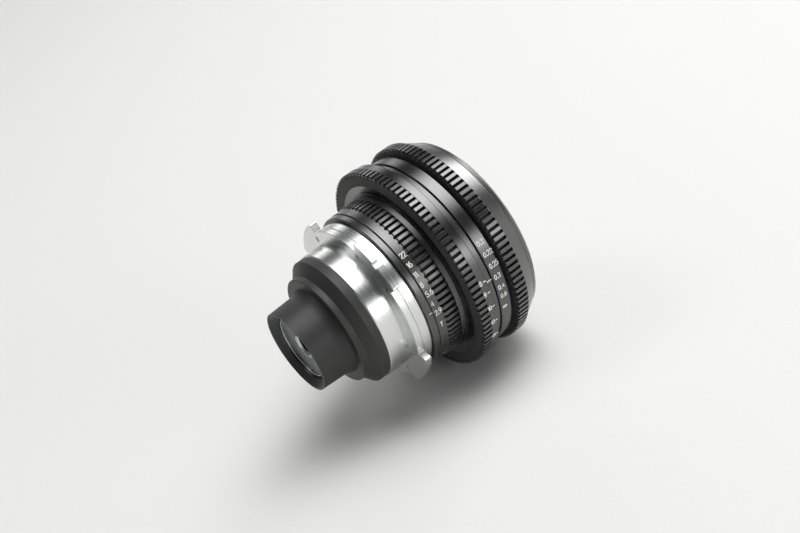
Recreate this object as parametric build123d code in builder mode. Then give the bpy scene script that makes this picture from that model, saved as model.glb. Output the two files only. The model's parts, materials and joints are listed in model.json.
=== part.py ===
"""Cine fisheye zoom lens with a positive-lock mount and three geared rings.

The optical axis is Y: the front glass looks toward -Y and the camera is on the +Y side. The origin is the
centre of the mount's seat. Stations are distances in front of the seat, so a station s lies at Y = -s.
Turns are angles about the axis in degrees, from +X toward +Z, and the index marks face -X. Millimetres.
"""

from build123d import *
import math
import os

os.makedirs("parts", exist_ok=True)

# Gaps, each on one side of a piece
running_gap = 0.05
side_gap = 0.12
seat_gap = 0.02
pin_gap = 0.05
slot_gap = 0.25
overrun = 1.0

# Mount
shoulder_radius = 27.0
shoulder_length = 9.1
shoulder_wall = 2.2
shoulder_chamfer = 0.4
flange_radius = 31.6
tab_radius = 35.5
tab_thickness = 2.8
tab_count = 4
tab_turn = 37.5
first_tab_turn = 45.0
tab_corner = 0.8
notched_tab_turn = 135.0
notch_width = 2.6
notch_depth = 1.6
spacer_length = 4.2
spacer_chamfer = 0.25
screw_turn = 16.0
screw_head_radius = 1.2
screw_head_height = 0.7
screw_shank_radius = 0.7
screw_reach = 1.6

# Rear optics block
base_radius = 26.6
base_length = 3.3
cone_length = 3.4
disc_radius = 22.4
disc_length = 2.5
spigot_length = 7.4
block_edge = 0.3
hood_foot_radius = 18.5
hood_flare_length = 4.4
hood_neck_radius = 17.25
hood_length = 13.8
hood_rim_radius = 16.8
hood_rim_wall = 0.7
hood_bore_radius = 14.2
hood_spigot_length = 8.2
hood_stop_length = 1.4
funnel_depth = 2.1
bezel_length = 1.9
bezel_land = 0.3
rear_glass_length = 3.6
rear_glass_bulge = 1.5
rear_glass_hollow = 1.0
rear_inner_length = 3.2
rear_inner_bulge = 1.2
glass_ledge = 1.5

# Fixed barrel
base_ring_length = 2.7
base_ring_radius = 33.0
ring_chamfer = 0.25
iris_journal_radius = 30.6
iris_journal_wall = 3.2
collar_radius = 34.0
collar_length = 1.35
collar_groove_depth = 0.35
collar_groove_width = 0.3
thrust_radius = 37.0
thrust_length = 1.0
journal_radius = 36.0
journal_wall = 2.8
inner_flange_length = 1.95
inner_flange_lip = 1.5
index_band_radius = 40.2
index_band_length = 3.25

# Gear teeth, 0.8 module
tooth_depth = 1.8
gap_root_width = 0.85
gap_tip_width = 1.5
gap_runout = 0.9
large_teeth = 106
iris_teeth = 82

# Iris ring
iris_ring_length = 12.1
iris_band_radius = 33.2
iris_gear_radius = 33.6
iris_scale_length = 4.3
iris_gear_length = 4.8
iris_runout_length = 0.9
gear_end_chamfer = 0.3

# Zoom ring
gear_radius = 43.2
zoom_ring_length = 7.45
zoom_gear_length = 3.9
gear_runout_length = 0.4
zoom_band_radius = 42.8
dish_depth = 2.55
dish_clearance = 0.6

# Focus ring
focus_ring_length = 17.3
focus_band_radius = 40.8
focus_band_length = 4.9
focus_groove_radius = 38.3
focus_groove_length = 1.4
focus_gear_length = 4.8
focus_taper_radius = 42.8
focus_front_radius = 39.6

# Front rim and glass
rim_length = 3.27
rim_rear_radius = 39.3
rim_shoulder_radius = 38.4
rim_front_radius = 36.6
rim_shoulder_length = 1.9
rim_wall = 1.3
front_glass_radius = 31.0
front_glass_bevel = 0.8
front_glass_edge = 3.5
front_glass_bulge = 9.8
front_glass_hollow = 10.0
front_hollow_radius = 21.0
retainer_length = 1.3
retainer_wall = 2.0
ledge_length = 1.6
second_glass_radius = 21.9
second_glass_edge = 2.6
second_face_radius = 19.0
second_glass_bulge = 4.5
second_hollow_radius = 15.0
second_glass_hollow = 4.5
second_collar_wall = 2.0
second_collar_length = 3.0

# Sleeves, carriers and guide rods
sleeve_wall = 1.95
cam_sleeve_length = 12.66
carrier_ring_wall = 4.2
carrier_web = 2.4
glass_inset = 0.2
zoom_carrier_length = 3.6
rear_zoom_station = 25.6
rear_zoom_glass_radius = 16.0
rear_zoom_front_bulge = 1.2
rear_zoom_rear_bulge = 1.0
front_zoom_station = 31.6
front_zoom_glass_radius = 17.0
front_zoom_front_bulge = 1.0
front_zoom_rear_bulge = -1.0
focus_cell_station = 37.6
focus_cell_length = 5.0
focus_glass_radius = 18.0
focus_front_bulge = 1.0
focus_rear_bulge = 0.8
rod_radius = 1.0
rod_count = 3
rod_turn = 90.0
rod_seat = 1.0
follower_radius = 1.1
follower_count = 3
follower_turn = 30.0
follower_depth = 2.6

# Travel of the rings in degrees and of the groups in millimetres for each degree
iris_open_turn = -2.0
iris_shut_turn = 41.5
zoom_low_turn = -33.0
zoom_high_turn = 3.0
focus_low_turn = -24.5
focus_high_turn = 21.0
front_zoom_rate = 0.0545
rear_zoom_rate = 0.0333
focus_rate = 0.05
slot_end_turn = 1.0
slot_end_relief = 0.05
path_steps = 8

# Drive keys
key_turn = 210.0
key_radius = 1.5
key_seat = 2.9
zoom_key_inset = 2.1
focus_key_inset = 9.1
drive_pin_radius = 0.75
drive_pin_seat = 0.95
drive_pin_depth = 1.7

# Iris
blade_count = 6
blade_thickness = 0.25
blade_pitch = 0.45
blade_open_radius = 16.3
blade_width = 3.3
blade_tail_turn = -8.0
blade_span_turn = 116.0
pivot_radius = 21.4
follower_pin_turn = 14.0
lug_width = 4.2
lug_margin_turn = 4.5
blade_pin_radius = 0.6
blade_rate = 0.55
blade_gap = 0.15
cam_gap = 0.1
lug_inset = 0.55
housing_wall = 1.38
housing_length = 9.15
housing_floor = 1.5
housing_aperture = 16.0
actuator_length = 2.0
iris_retainer_length = 2.1
iris_retainer_wall = 4.0

# Stations that follow from the sizes above
spacer_front = tab_thickness + spacer_length
base_ring_front = spacer_front + base_ring_length
iris_ring_rear = base_ring_front + side_gap
iris_ring_front = iris_ring_rear + iris_ring_length
collar_rear = iris_ring_front + side_gap
thrust_rear = collar_rear + collar_length
thrust_front = thrust_rear + thrust_length
inner_flange_front = collar_rear + inner_flange_length
dish_floor = thrust_front + side_gap
zoom_ring_rear = dish_floor - dish_depth
zoom_ring_front = zoom_ring_rear + zoom_ring_length
index_band_rear = zoom_ring_front + side_gap
index_band_front = index_band_rear + index_band_length
focus_ring_rear = index_band_front + side_gap
focus_ring_front = focus_ring_rear + focus_ring_length
rim_rear = focus_ring_front + side_gap
rim_front = rim_rear + rim_length
block_front = -shoulder_length
cone_rear = block_front - base_length - cone_length
disc_rear = cone_rear - disc_length
hood_rear = disc_rear - hood_length

# Radii that follow from the sizes above
mount_bore = shoulder_radius - shoulder_wall
screw_circle = (shoulder_radius + flange_radius) / 2
iris_bore = iris_journal_radius - iris_journal_wall
barrel_bore = journal_radius - journal_wall
ring_bore = journal_radius + running_gap
sleeve_radius = barrel_bore - running_gap
sleeve_bore = sleeve_radius - sleeve_wall
carrier_radius = sleeve_bore - running_gap
carrier_ring_bore = carrier_radius - carrier_ring_wall
rod_circle = carrier_radius - carrier_ring_wall / 2
block_bore = hood_foot_radius + seat_gap


def turned(*outline):
    """Face of a turned piece, from its corners as (station, radius)."""
    with BuildSketch(Plane.YZ) as face:
        with BuildLine():
            Polyline(*[(-station, radius) for station, radius in outline], close=True)
        make_face()
    return face.sketch


def tube(rear, front, inner, outer, chamfer_size=0):
    """Face of a plain tube, with its outer corners chamfered where a size is given."""
    if chamfer_size == 0:
        return turned((rear, inner), (rear, outer), (front, outer), (front, inner))
    return turned(
        (rear, inner),
        (rear, outer - chamfer_size),
        (rear + chamfer_size, outer),
        (front - chamfer_size, outer),
        (front, outer - chamfer_size),
        (front, inner),
    )


def radial_plane(station, turn, radius=0):
    """Plane whose normal points away from the axis."""
    across = math.cos(math.radians(turn))
    up = math.sin(math.radians(turn))
    return Plane(
        origin=(radius * across, -station, radius * up),
        x_dir=(0, -1, 0),
        z_dir=(across, 0, up),
    )


def cap(edge_station, face_radius, bulge):
    """Arc of a glass face from the axis to its edge, bulging forward where bulge is positive."""
    sphere_radius = (face_radius**2 + bulge**2) / (2 * abs(bulge))
    middle_drop = sphere_radius - math.sqrt(sphere_radius**2 - face_radius**2 / 4)
    vertex = edge_station + bulge
    middle = vertex - math.copysign(middle_drop, bulge)
    return ThreePointArc((-vertex, 0), (-middle, face_radius / 2), (-edge_station, face_radius))


def glass(rear, front, edge_radius, front_face, rear_face):
    """One glass element, each face given as (radius, bulge away from the glass)."""
    front_radius, front_bulge = front_face
    rear_radius, rear_bulge = rear_face
    with BuildPart() as element:
        with BuildSketch(Plane.YZ) as half:
            with BuildLine():
                cap(front, front_radius, front_bulge)
                if front_radius < edge_radius:
                    Line((-front, front_radius), (-front, edge_radius))
                Line((-front, edge_radius), (-rear, edge_radius))
                if rear_radius < edge_radius:
                    Line((-rear, edge_radius), (-rear, rear_radius))
                cap(rear, rear_radius, -rear_bulge)
                Line((-(rear - rear_bulge), 0), (-(front + front_bulge), 0))
            make_face()
        revolve(axis=Axis.Y)
    return element.part


def tooth_gaps(rear, front, tip_radius, count, open_rear):
    """The gaps between gear teeth, with a rounded run-out at each closed end."""
    root_radius = tip_radius - tooth_depth
    floor_radius = root_radius - seat_gap
    reach = tip_radius + overrun
    start = rear - overrun if open_rear else rear
    with BuildPart() as gaps:
        with BuildSketch(Plane.XZ.offset(start)):
            with PolarLocations(0, count):
                Polygon(
                    (root_radius, -gap_root_width / 2),
                    (reach, -gap_tip_width / 2),
                    (reach, gap_tip_width / 2),
                    (root_radius, gap_root_width / 2),
                    align=None,
                )
        extrude(amount=front - start)
        with BuildSketch(Plane.YZ):
            with BuildLine():
                if open_rear:
                    Polyline((-start, reach), (-start, floor_radius), (-front + gap_runout, floor_radius))
                else:
                    Line((-start, reach), (-start, floor_radius + gap_runout))
                    TangentArc(
                        (-start, floor_radius + gap_runout),
                        (-start - gap_runout, floor_radius),
                        tangent=(0, -1),
                    )
                    Line((-start - gap_runout, floor_radius), (-front + gap_runout, floor_radius))
                TangentArc(
                    (-front + gap_runout, floor_radius),
                    (-front, floor_radius + gap_runout),
                    tangent=(-1, 0),
                )
                Polyline((-front, floor_radius + gap_runout), (-front, reach), (-start, reach))
            make_face()
        revolve(axis=Axis.Y, mode=Mode.INTERSECT)
    return gaps.part


def carrier(rear, ring_length, glass_radius, follower_station):
    """A sliding glass carrier: outer ring, web with its glass seat, rod holes and follower holes."""
    with BuildPart() as body:
        revolve(
            turned(
                (rear, glass_radius + seat_gap),
                (rear, carrier_radius),
                (rear + ring_length, carrier_radius),
                (rear + ring_length, carrier_ring_bore),
                (rear + carrier_web, carrier_ring_bore),
                (rear + carrier_web, glass_radius + seat_gap),
            ),
            axis=Axis.Y,
        )
        with BuildSketch(Plane.XZ.offset(rear - overrun)):
            with PolarLocations(rod_circle, rod_count, start_angle=rod_turn):
                Circle(rod_radius + pin_gap)
        extrude(amount=ring_length + 2 * overrun, mode=Mode.SUBTRACT)
        for turn in follower_turns:
            with BuildSketch(radial_plane(follower_station, turn, carrier_radius - follower_depth)):
                Circle(follower_radius + seat_gap)
            extrude(amount=follower_depth + overrun, mode=Mode.SUBTRACT)
    return body.part


def followers(station):
    """The cam followers of one carrier."""
    with BuildPart() as pins:
        for turn in follower_turns:
            with BuildSketch(radial_plane(station, turn, carrier_radius - follower_depth + seat_gap)):
                Circle(follower_radius)
            extrude(amount=sleeve_radius - side_gap - carrier_radius + follower_depth)
    return pins.part


def cam_slot(station, turn, rate, low_turn, high_turn):
    """A helical cam slot with relieved ends. It moves its follower by rate for each degree of turn."""
    slot_turn = high_turn - low_turn + 2 * slot_end_turn
    last_turn = turn - low_turn + slot_end_turn
    middle_radius = (sleeve_bore + sleeve_radius) / 2
    depth = sleeve_wall + overrun
    width = 2 * (follower_radius + pin_gap)
    with BuildPart() as slot:
        with BuildLine():
            path = Helix(360 * rate, slot_turn * rate, middle_radius, lefthand=True)
        with BuildSketch(Plane(origin=path @ 0, x_dir=(1, 0, 0), z_dir=path % 0)):
            Rectangle(depth, width)
        sweep(path=path, is_frenet=True)
        for end in (path @ 0, path @ 1):
            outward = Vector(end.X, end.Y, 0).normalized()
            with BuildSketch(Plane(origin=end - outward * depth / 2, z_dir=outward)):
                Circle(width / 2 + slot_end_relief)
            extrude(amount=depth)
    rear_end = Plane(
        origin=(0, rate * (last_turn - turn) - station, 0),
        x_dir=radial_plane(0, last_turn).z_dir,
        z_dir=(0, -1, 0),
    )
    return rear_end.from_local_coords(slot.part)


def arc_slot(station, width, inner, outer, first_turn, last_turn):
    """A slot that runs round the axis, with round ends."""
    outward = radial_plane(0, first_turn).z_dir
    with BuildPart() as slot:
        with BuildSketch(Plane(origin=(0, 0, 0), x_dir=outward, z_dir=outward.cross(Vector(0, 1, 0)))):
            with Locations(((inner + outer) / 2, -station)):
                Rectangle(outer - inner, width)
        revolve(axis=Axis((0, 0, 0), (0, -1, 0)), revolution_arc=last_turn - first_turn)
        for turn in (first_turn, last_turn):
            with BuildSketch(radial_plane(station, turn, inner)):
                Circle(width / 2)
            extrude(amount=outer - inner)
    return slot.part


follower_turns = [follower_turn + 360 / follower_count * index for index in range(follower_count)]
rear_zoom_middle = rear_zoom_station + zoom_carrier_length / 2
front_zoom_middle = front_zoom_station + zoom_carrier_length / 2
focus_cell_middle = focus_cell_station + focus_cell_length / 2
zoom_key_station = zoom_ring_front - zoom_key_inset
focus_key_station = focus_ring_rear + focus_key_inset
key_slot_width = 2 * (key_radius + slot_gap)

# Iris levels and stations
housing_outer = iris_bore - seat_gap
housing_bore = housing_outer - housing_wall
housing_front = collar_rear
housing_rear = housing_front - housing_length
blade_stack_front = housing_front - housing_floor - blade_gap
blade_stack_rear = blade_stack_front - blade_pitch * (blade_count - 1) - blade_thickness
actuator_front = blade_stack_rear - blade_gap
actuator_rear = actuator_front - actuator_length
drive_pin_station = actuator_front - actuator_length / 2
drive_slot_width = 2 * (drive_pin_radius + slot_gap)
blade_step = 360 / blade_count
strip_radius = blade_open_radius + blade_width / 2
lug_radius = pivot_radius - lug_inset


def cam_points(turn):
    """Path of a blade's follower pin in the cam plate, in the plate's own turning frame."""
    first = iris_open_turn - slot_end_turn
    last = iris_shut_turn + slot_end_turn
    points = []
    for step in range(path_steps + 1):
        ring_turn = first + (last - first) * step / path_steps
        blade_turn = math.radians(blade_rate * ring_turn)
        follower = math.radians(follower_pin_turn)
        arm_across = pivot_radius * (math.cos(follower) - 1)
        arm_up = pivot_radius * math.sin(follower)
        across = pivot_radius + arm_across * math.cos(blade_turn) - arm_up * math.sin(blade_turn)
        up = arm_across * math.sin(blade_turn) + arm_up * math.cos(blade_turn)
        angle = math.atan2(up, across) + math.radians(turn - ring_turn)
        reach = math.hypot(across, up)
        points.append((reach * math.cos(angle), reach * math.sin(angle)))
    return points


# Rear optics block: base, cone and disc
with BuildPart() as rear_barrel:
    revolve(
        turned(
            (block_front + spigot_length, block_bore),
            (block_front + spigot_length, mount_bore - seat_gap),
            (block_front, mount_bore - seat_gap),
            (block_front, base_radius),
            (block_front - base_length, base_radius),
            (cone_rear, disc_radius),
            (disc_rear + block_edge, disc_radius),
            (disc_rear, disc_radius - block_edge),
            (disc_rear, block_bore),
        ),
        axis=Axis.Y,
    )
rear_barrel.part.label = "rear_barrel"
export_step(rear_barrel.part, "parts/rear_barrel.step")

# Hood: a flared foot, a slightly tapered tube and a funnel mouth
hood_neck = disc_rear - hood_flare_length
hood_front = disc_rear + hood_spigot_length
funnel_floor = hood_rear + funnel_depth
rear_glass_radius = hood_bore_radius - seat_gap
rear_glass_rear = funnel_floor + bezel_length
rear_glass_front = rear_glass_rear + rear_glass_length
inner_glass_front = hood_front - hood_stop_length
inner_glass_rear = inner_glass_front - rear_inner_length
with BuildPart() as rear_hood:
    with BuildSketch(Plane.YZ):
        with BuildLine():
            Polyline(
                (-disc_rear, hood_foot_radius),
                (-hood_front, hood_foot_radius),
                (-hood_front, hood_bore_radius - glass_ledge),
                (-inner_glass_front, hood_bore_radius - glass_ledge),
                (-inner_glass_front, hood_bore_radius),
                (-funnel_floor, hood_bore_radius),
                (-hood_rear, hood_rim_radius - hood_rim_wall),
                (-hood_rear, hood_rim_radius),
                (-hood_neck, hood_neck_radius),
            )
            TangentArc(
                (-hood_neck, hood_neck_radius),
                (-disc_rear, hood_foot_radius),
                tangent=(hood_rear - hood_neck, hood_neck_radius - hood_rim_radius),
            )
        make_face()
    revolve(axis=Axis.Y)
rear_hood.part.label = "rear_hood"
export_step(rear_hood.part, "parts/rear_hood.step")

# Threaded ring that holds the rear glass
with BuildPart() as rear_bezel:
    revolve(
        turned(
            (funnel_floor, rear_glass_radius),
            (rear_glass_rear, rear_glass_radius),
            (rear_glass_rear, rear_glass_radius - glass_ledge + seat_gap),
            (funnel_floor, rear_glass_radius - bezel_land),
        ),
        axis=Axis.Y,
    )
rear_bezel.part.label = "rear_bezel"
export_step(rear_bezel.part, "parts/rear_bezel.step")

rear_element = glass(
    rear_glass_rear,
    rear_glass_front,
    rear_glass_radius,
    (rear_glass_radius - glass_ledge, -rear_glass_hollow),
    (rear_glass_radius - glass_ledge, rear_glass_bulge),
)
rear_element.label = "rear_element"
export_step(rear_element, "parts/rear_element.step")

rear_inner_element = glass(
    inner_glass_rear,
    inner_glass_front,
    rear_glass_radius,
    (rear_glass_radius - glass_ledge, rear_inner_bulge),
    (rear_glass_radius - glass_ledge, rear_inner_bulge),
)
rear_inner_element.label = "rear_inner_element"
export_step(rear_inner_element, "parts/rear_inner_element.step")

# Tube between the two rear glasses
with BuildPart() as rear_spacer:
    revolve(
        tube(
            rear_glass_front,
            inner_glass_rear,
            rear_glass_radius - glass_ledge + seat_gap,
            rear_glass_radius,
        ),
        axis=Axis.Y,
    )
rear_spacer.part.label = "rear_spacer"
export_step(rear_spacer.part, "parts/rear_spacer.step")

# Mount: shoulder tube, flange and locking tabs
screw_turns = []
for index in range(tab_count):
    middle_turn = first_tab_turn + 360 / tab_count * index
    screw_turns.extend([middle_turn - screw_turn, middle_turn + screw_turn])
gap_half_turn = (360 / tab_count - tab_turn) / 2
gap_reach = tab_radius + overrun
gap_half_width = gap_reach * math.tan(math.radians(gap_half_turn))
with BuildPart() as mount_flange:
    with BuildSketch(Plane.XZ) as plate:
        Circle(tab_radius)
        with PolarLocations(0, tab_count):
            Polygon(
                (0, 0),
                (gap_reach, -gap_half_width),
                (gap_reach, gap_half_width),
                align=None,
                mode=Mode.SUBTRACT,
            )
        corners = plate.vertices().filter_by(lambda corner: Vector(*corner).length > flange_radius)
        fillet(corners, tab_corner)
        Circle(flange_radius)
        with PolarLocations(tab_radius, 1, start_angle=notched_tab_turn):
            Rectangle(2 * notch_depth, notch_width, mode=Mode.SUBTRACT)
    extrude(amount=tab_thickness)
    revolve(tube(block_front, tab_thickness, mount_bore, shoulder_radius, shoulder_chamfer), axis=Axis.Y)
    with BuildSketch(Plane.XZ.offset(block_front - overrun)):
        Circle(mount_bore)
    extrude(amount=shoulder_length + tab_thickness + 2 * overrun, mode=Mode.SUBTRACT)
    for turn in screw_turns:
        with BuildSketch(Plane.XZ):
            with PolarLocations(screw_circle, 1, start_angle=turn):
                Circle(screw_head_radius + seat_gap)
        extrude(amount=screw_head_height + seat_gap, mode=Mode.SUBTRACT)
        with BuildSketch(Plane.XZ):
            with PolarLocations(screw_circle, 1, start_angle=turn):
                Circle(screw_shank_radius + seat_gap)
        extrude(amount=tab_thickness + overrun, mode=Mode.SUBTRACT)
mount_flange.part.label = "mount_flange"
export_step(mount_flange.part, "parts/mount_flange.step")

# Screws of the mount, heads flush with the seat
with BuildPart() as mount_screws:
    for turn in screw_turns:
        with BuildSketch(Plane.XZ.offset(seat_gap)):
            with PolarLocations(screw_circle, 1, start_angle=turn):
                Circle(screw_head_radius)
        extrude(amount=screw_head_height - seat_gap)
        with BuildSketch(Plane.XZ.offset(screw_head_height)):
            with PolarLocations(screw_circle, 1, start_angle=turn):
                Circle(screw_shank_radius)
        extrude(amount=spacer_front + screw_reach - screw_head_height)
mount_screws.part.label = "mount_screws"
export_step(mount_screws.part, "parts/mount_screws.step")

# Bright ring between the flange and the black body
with BuildPart() as mount_spacer:
    revolve(tube(tab_thickness, spacer_front, mount_bore, flange_radius, spacer_chamfer), axis=Axis.Y)
    for turn in screw_turns:
        with BuildSketch(Plane.XZ.offset(tab_thickness - overrun)):
            with PolarLocations(screw_circle, 1, start_angle=turn):
                Circle(screw_shank_radius + seat_gap)
        extrude(amount=spacer_length + 2 * overrun, mode=Mode.SUBTRACT)
mount_spacer.part.label = "mount_spacer"
export_step(mount_spacer.part, "parts/mount_spacer.step")

# Fixed black ring behind the iris ring
with BuildPart() as mount_base_ring:
    revolve(
        tube(spacer_front, base_ring_front, iris_journal_radius + seat_gap, base_ring_radius, ring_chamfer),
        axis=Axis.Y,
    )
mount_base_ring.part.label = "mount_base_ring"
export_step(mount_base_ring.part, "parts/mount_base_ring.step")

# Main barrel: rear journal, grooved collar, thrust shoulder, front journal and inner flange
groove_floor = collar_radius - collar_groove_depth
first_groove = collar_rear + collar_length / 4
second_groove = collar_rear + 3 * collar_length / 4
inner_flange_radius = iris_bore - inner_flange_lip
barrel_front = rim_rear - seat_gap
with BuildPart() as main_barrel:
    revolve(
        turned(
            (spacer_front, iris_bore),
            (spacer_front, iris_journal_radius),
            (collar_rear, iris_journal_radius),
            (collar_rear, collar_radius),
            (first_groove - collar_groove_width / 2, collar_radius),
            (first_groove, groove_floor),
            (first_groove + collar_groove_width / 2, collar_radius),
            (second_groove - collar_groove_width / 2, collar_radius),
            (second_groove, groove_floor),
            (second_groove + collar_groove_width / 2, collar_radius),
            (thrust_rear, collar_radius),
            (thrust_rear, thrust_radius),
            (thrust_front, thrust_radius),
            (thrust_front, journal_radius),
            (barrel_front, journal_radius),
            (barrel_front, barrel_bore),
            (inner_flange_front, barrel_bore),
            (inner_flange_front, inner_flange_radius),
            (collar_rear, inner_flange_radius),
            (collar_rear, iris_bore),
        ),
        axis=Axis.Y,
    )
    for turn in screw_turns:
        with BuildSketch(Plane.XZ.offset(spacer_front - overrun)):
            with PolarLocations(screw_circle, 1, start_angle=turn):
                Circle(screw_shank_radius + seat_gap)
        extrude(amount=screw_reach + seat_gap + overrun, mode=Mode.SUBTRACT)
    with BuildSketch(Plane.XZ.offset(inner_flange_front - rod_seat)):
        with PolarLocations(rod_circle, rod_count, start_angle=rod_turn):
            Circle(rod_radius + seat_gap)
    extrude(amount=rod_seat + overrun, mode=Mode.SUBTRACT)
    add(
        arc_slot(
            zoom_key_station,
            key_slot_width,
            barrel_bore - overrun,
            journal_radius + overrun,
            key_turn + zoom_low_turn - slot_end_turn,
            key_turn + zoom_high_turn + slot_end_turn,
        ),
        mode=Mode.SUBTRACT,
    )
    add(
        arc_slot(
            focus_key_station,
            key_slot_width,
            barrel_bore - overrun,
            journal_radius + overrun,
            key_turn + focus_low_turn - slot_end_turn,
            key_turn + focus_high_turn + slot_end_turn,
        ),
        mode=Mode.SUBTRACT,
    )
    add(
        arc_slot(
            drive_pin_station,
            drive_slot_width,
            iris_bore - overrun,
            iris_journal_radius + overrun,
            key_turn + iris_open_turn - slot_end_turn,
            key_turn + iris_shut_turn + slot_end_turn,
        ),
        mode=Mode.SUBTRACT,
    )
main_barrel.part.label = "main_barrel"
export_step(main_barrel.part, "parts/main_barrel.step")

# Iris ring: scale band, geared band and smooth front band
iris_gear_rear = iris_ring_rear + iris_scale_length
iris_gear_front = iris_gear_rear + iris_gear_length
iris_gaps = tooth_gaps(
    iris_gear_rear - iris_runout_length,
    iris_gear_front + iris_runout_length,
    iris_gear_radius,
    iris_teeth,
    False,
)
gear_step = iris_gear_radius - iris_band_radius
with BuildPart() as iris_ring:
    revolve(
        turned(
            (iris_ring_rear, iris_journal_radius + running_gap),
            (iris_ring_rear, iris_band_radius - ring_chamfer),
            (iris_ring_rear + ring_chamfer, iris_band_radius),
            (iris_gear_rear - gear_step, iris_band_radius),
            (iris_gear_rear, iris_gear_radius),
            (iris_gear_front, iris_gear_radius),
            (iris_gear_front + gear_step, iris_band_radius),
            (iris_ring_front - ring_chamfer, iris_band_radius),
            (iris_ring_front, iris_band_radius - ring_chamfer),
            (iris_ring_front, iris_journal_radius + running_gap),
        ),
        axis=Axis.Y,
    )
    add(iris_gaps, mode=Mode.SUBTRACT)
    with BuildSketch(radial_plane(drive_pin_station, key_turn)):
        Circle(drive_pin_radius + seat_gap)
    extrude(amount=iris_journal_radius + drive_pin_seat + seat_gap, mode=Mode.SUBTRACT)
iris_ring.part.label = "iris_ring"
export_step(iris_ring.part, "parts/iris_ring.step")

# Zoom ring: open-ended gear at the rear over a dish, smooth band in front
zoom_gear_front = zoom_ring_rear + zoom_gear_length
zoom_gap_front = zoom_gear_front + gear_runout_length
zoom_gaps = tooth_gaps(zoom_ring_rear, zoom_gap_front, gear_radius, large_teeth, True)
dish_radius = thrust_radius + dish_clearance
with BuildPart() as zoom_ring:
    revolve(
        turned(
            (zoom_ring_rear, dish_radius),
            (zoom_ring_rear, gear_radius - gear_end_chamfer),
            (zoom_ring_rear + gear_end_chamfer, gear_radius),
            (zoom_gear_front, gear_radius),
            (zoom_gear_front + gear_radius - zoom_band_radius, zoom_band_radius),
            (zoom_ring_front - ring_chamfer, zoom_band_radius),
            (zoom_ring_front, zoom_band_radius - ring_chamfer),
            (zoom_ring_front, ring_bore),
            (dish_floor, ring_bore),
            (dish_floor, dish_radius),
        ),
        axis=Axis.Y,
    )
    add(zoom_gaps, mode=Mode.SUBTRACT)
    with BuildSketch(radial_plane(zoom_key_station, key_turn)):
        Circle(key_radius + seat_gap)
    extrude(amount=journal_radius + key_seat + seat_gap, mode=Mode.SUBTRACT)
zoom_ring.part.label = "zoom_ring"
export_step(zoom_ring.part, "parts/zoom_ring.step")

# Fixed dark band between the zoom and focus rings
with BuildPart() as index_band:
    revolve(
        tube(index_band_rear, index_band_front, journal_radius + seat_gap, index_band_radius, ring_chamfer),
        axis=Axis.Y,
    )
index_band.part.label = "index_band"
export_step(index_band.part, "parts/index_band.step")

# Focus ring: scale band, groove, open-ended gear and tapered front
focus_band_front = focus_ring_rear + focus_band_length
focus_gear_rear = focus_band_front + focus_groove_length
focus_gear_front = focus_gear_rear + focus_gear_length
focus_gap_front = focus_gear_front + gear_runout_length
focus_gaps = tooth_gaps(focus_gear_rear, focus_gap_front, gear_radius, large_teeth, True)
with BuildPart() as focus_ring:
    revolve(
        turned(
            (focus_ring_rear, ring_bore),
            (focus_ring_rear, focus_band_radius - ring_chamfer),
            (focus_ring_rear + ring_chamfer, focus_band_radius),
            (focus_band_front - ring_chamfer, focus_band_radius),
            (focus_band_front, focus_band_radius - ring_chamfer),
            (focus_band_front, focus_groove_radius),
            (focus_gear_rear, focus_groove_radius),
            (focus_gear_rear, gear_radius - gear_end_chamfer),
            (focus_gear_rear + gear_end_chamfer, gear_radius),
            (focus_gear_front, gear_radius),
            (focus_gear_front + gear_radius - focus_taper_radius, focus_taper_radius),
            (focus_ring_front - ring_chamfer, focus_front_radius),
            (focus_ring_front, focus_front_radius - ring_chamfer),
            (focus_ring_front, ring_bore),
        ),
        axis=Axis.Y,
    )
    add(focus_gaps, mode=Mode.SUBTRACT)
    with BuildSketch(radial_plane(focus_key_station, key_turn)):
        Circle(key_radius + seat_gap)
    extrude(amount=journal_radius + key_seat + seat_gap, mode=Mode.SUBTRACT)
focus_ring.part.label = "focus_ring"
export_step(focus_ring.part, "parts/focus_ring.step")

# Front rim: flange, spigot in the barrel, ledge for the dome and collar for the second glass
housing_radius = barrel_bore - seat_gap
dome_front = rim_rear
dome_rear = dome_front - front_glass_edge
ledge_rear = dome_rear - ledge_length
collar_end = ledge_rear - second_collar_length
second_bore = second_glass_radius + seat_gap
dome_bore = front_glass_radius + seat_gap
retainer_front = dome_front + retainer_length
rim_bore = dome_bore + retainer_wall
with BuildPart() as front_housing:
    revolve(
        turned(
            (ledge_rear, second_face_radius + seat_gap),
            (ledge_rear, second_bore),
            (collar_end, second_bore),
            (collar_end, second_bore + second_collar_wall),
            (ledge_rear, second_bore + second_collar_wall),
            (ledge_rear, housing_radius),
            (rim_rear, housing_radius),
            (rim_rear, rim_rear_radius),
            (rim_rear + rim_shoulder_length, rim_shoulder_radius),
            (rim_front, rim_front_radius),
            (rim_front, rim_front_radius - rim_wall),
            (retainer_front, rim_bore),
            (dome_front, rim_bore),
            (dome_front, dome_bore),
            (dome_rear, dome_bore),
            (dome_rear, second_face_radius + seat_gap),
        ),
        axis=Axis.Y,
    )
    with BuildSketch(Plane.XZ.offset(ledge_rear - overrun)):
        with PolarLocations(rod_circle, rod_count, start_angle=rod_turn):
            Circle(rod_radius + seat_gap)
    extrude(amount=rod_seat + overrun, mode=Mode.SUBTRACT)
front_housing.part.label = "front_housing"
export_step(front_housing.part, "parts/front_housing.step")

front_element = glass(
    dome_rear,
    dome_front,
    front_glass_radius,
    (front_glass_radius - front_glass_bevel, front_glass_bulge),
    (front_hollow_radius, -front_glass_hollow),
)
front_element.label = "front_element"
export_step(front_element, "parts/front_element.step")

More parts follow.
